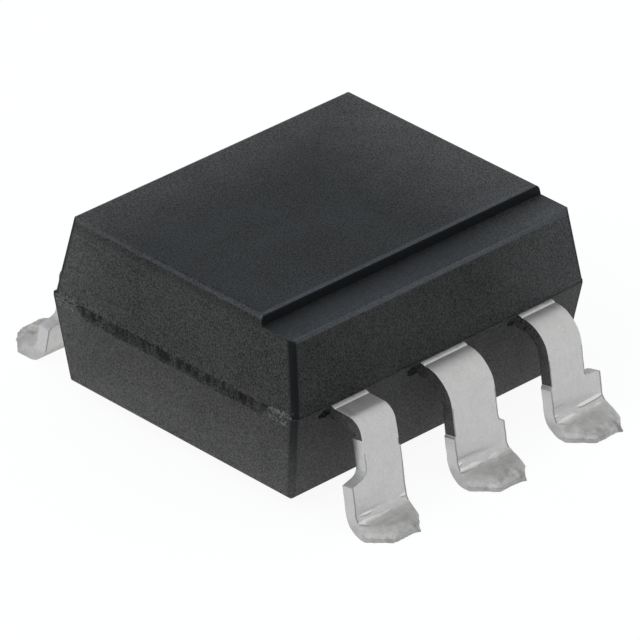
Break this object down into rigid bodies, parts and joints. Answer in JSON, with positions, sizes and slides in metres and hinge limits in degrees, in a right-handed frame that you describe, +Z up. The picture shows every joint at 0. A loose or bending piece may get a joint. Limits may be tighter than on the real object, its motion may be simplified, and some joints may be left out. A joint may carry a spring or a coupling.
{
  "type": "optocoupler",
  "caption": "Optocoupler in a stepped black moulded body with gull-wing leads; light from an emitter chip inside drives a detector chip across an insulating gap.",
  "frame": {"origin": "centre of the bounding box on the plane the lead feet stand on", "axes": "+X along a row of leads from pin 1 to pin 3, +Y from the pin 1 to 3 row to the pin 4 to 6 row, +Z up from the seating plane to the top"},
  "size_m": [0.0074, 0.01, 0.0038],
  "materials": {
    "black_epoxy": "fine spark-eroded mould texture, matt charcoal",
    "pale_epoxy": "pale translucent epoxy",
    "tin_plate": "satin tin plate on a copper alloy strip",
    "emitter_die": "polished compound semiconductor",
    "silicon_die": "polished silicon with oxide",
    "die_attach": "silver-filled epoxy",
    "clear_silicone": "clear soft silicone",
    "gold_wire": "drawn gold wire"
  },
  "bodies": {
    "root": {"outer_body": "black_epoxy", "inner_mould": "pale_epoxy", "lead_anode": "tin_plate", "lead_cathode": "tin_plate", "lead_spare": "tin_plate", "lead_emitter": "tin_plate", "lead_collector": "tin_plate", "lead_base": "tin_plate", "led_chip": "emitter_die", "led_attach": "die_attach", "led_coating": "clear_silicone", "led_wire": "gold_wire", "detector_chip": "silicon_die", "detector_attach": "die_attach", "emitter_wire": "gold_wire", "base_wire": "gold_wire"}
  },
  "joints": []
}
